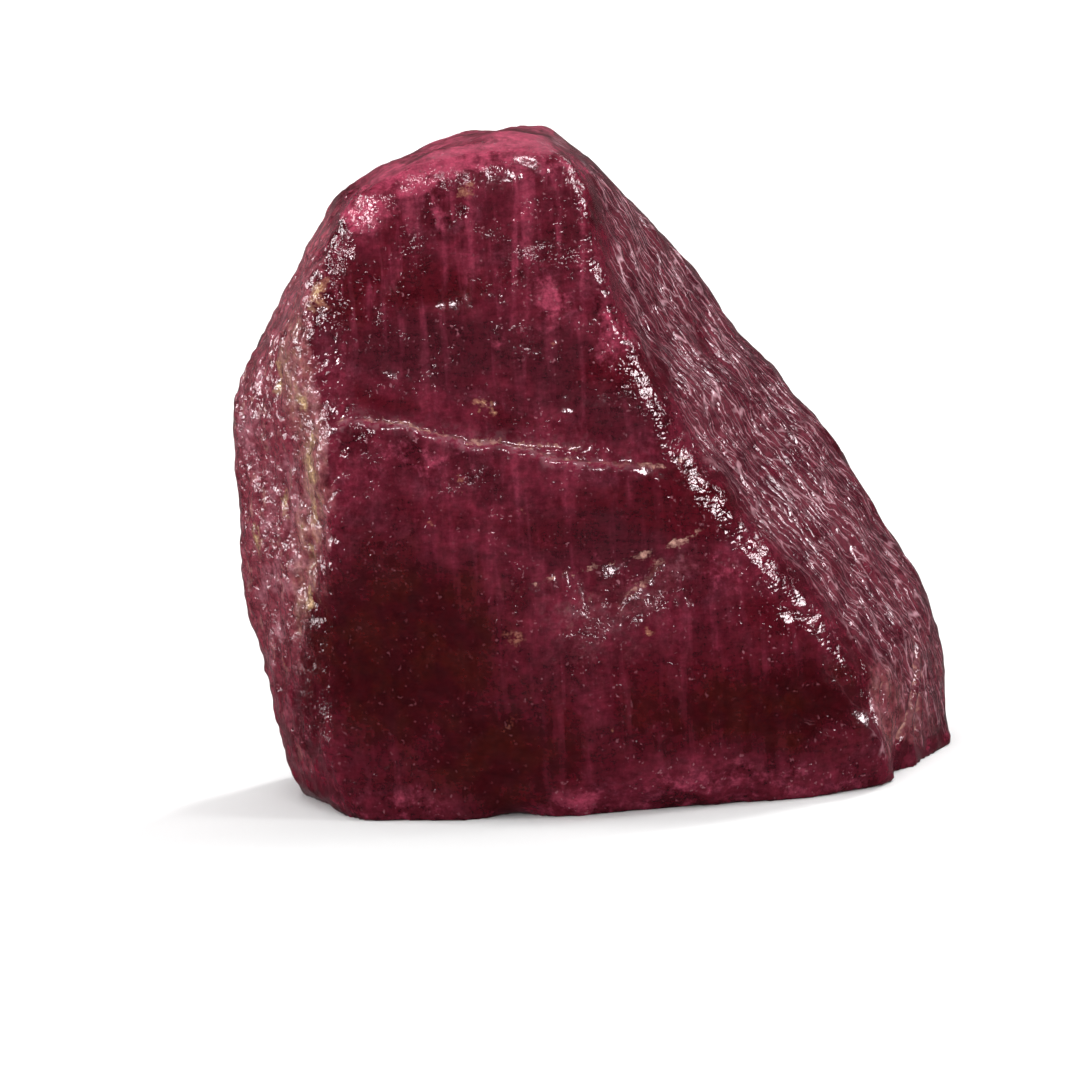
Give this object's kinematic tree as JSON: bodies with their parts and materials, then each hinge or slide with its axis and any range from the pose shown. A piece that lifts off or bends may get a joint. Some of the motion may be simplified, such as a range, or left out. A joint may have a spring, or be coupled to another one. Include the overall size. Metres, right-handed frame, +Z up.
{
  "type": "raw ruby crystal",
  "caption": "Rough uncut ruby crystal: an opaque raspberry-red stone with broken crystal faces, a long oblique ridge, a stepped front and a flat underside to stand on.",
  "frame": {"origin": "middle of the footprint of the whole stone, on the flat underside it stands on", "axes": "+Z up, +X to the right and +Y to the back as seen from the stepped front; the long ridge falls toward +X"},
  "size_m": [0.0396, 0.0254, 0.0366],
  "materials": {
    "ruby": "rough natural surface with a greasy to glassy sheen, translucent only at thin edges"
  },
  "bodies": {
    "root": {"ruby_crystal": "ruby"}
  },
  "joints": []
}
